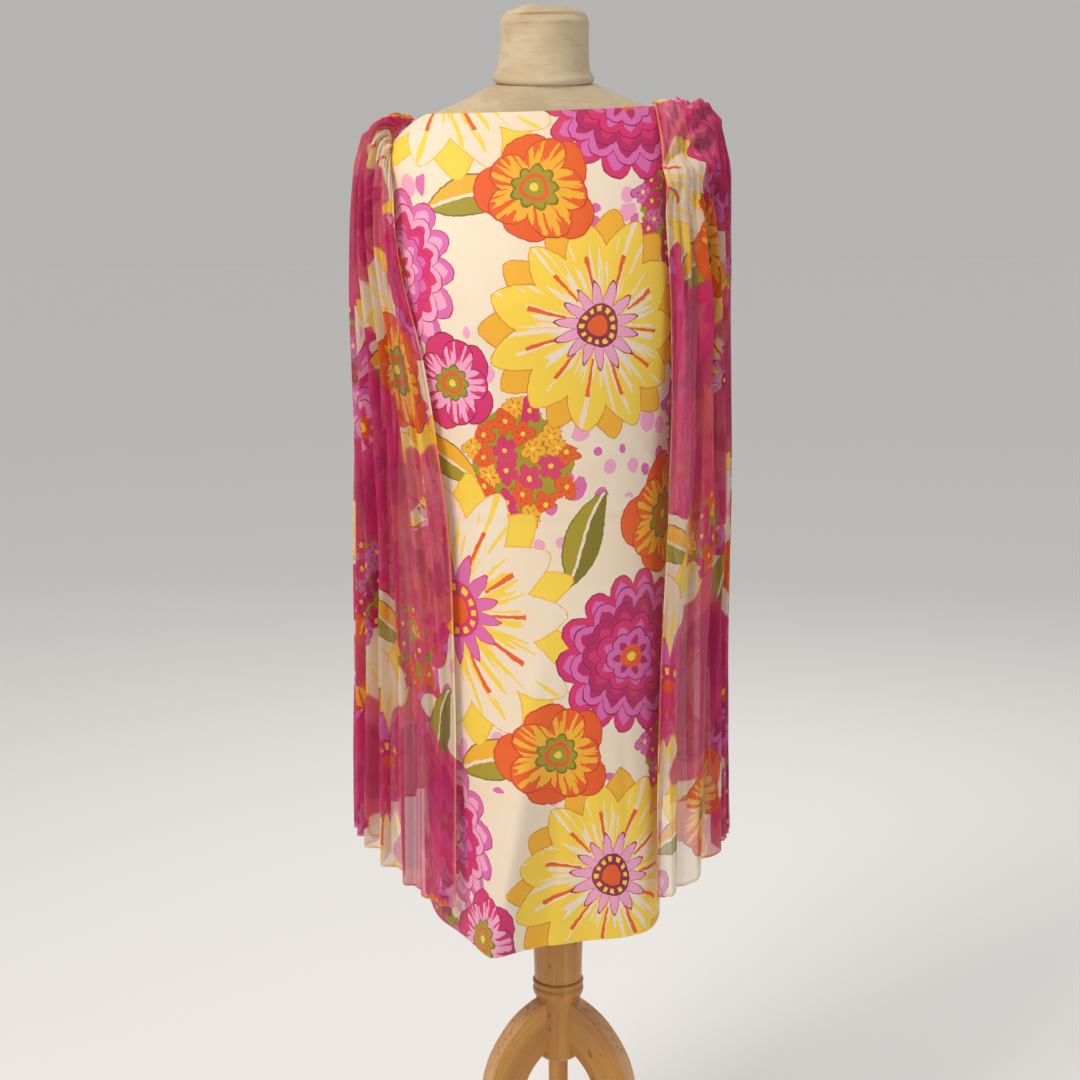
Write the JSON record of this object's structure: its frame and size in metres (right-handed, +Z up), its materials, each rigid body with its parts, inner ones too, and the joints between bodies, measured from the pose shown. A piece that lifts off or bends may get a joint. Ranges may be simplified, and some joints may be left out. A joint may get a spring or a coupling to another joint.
{
  "type": "mini dress on a limbless dress form and stand",
  "caption": "Sleeveless shift mini dress in a large floral print with sheer hanging wings, standing on a limbless cloth dress form with a turned wooden tripod stand.",
  "frame": {"origin": "on the floor under the middle of the whole part's bounding box", "axes": "+Z up, -Y the way the dress faces, +X to the right in the picture"},
  "size_m": [0.4987, 0.4573, 1.5345],
  "materials": {
    "printed_cloth": "opaque printed crepe with a soft sheen",
    "printed_chiffon": "sheer printed chiffon",
    "form_cloth": "cream calico stretched over the form",
    "varnished_wood": "honey varnish, satin"
  },
  "bodies": {
    "root": {"dress_front": "printed_cloth", "dress_back_left": "printed_cloth", "dress_back_right": "printed_cloth", "wing_left": "printed_chiffon", "wing_right": "printed_chiffon", "form_torso": "form_cloth", "form_neck": "form_cloth", "pole": "varnished_wood", "hub": "varnished_wood", "leg_1": "varnished_wood", "leg_2": "varnished_wood", "leg_3": "varnished_wood"}
  },
  "joints": []
}
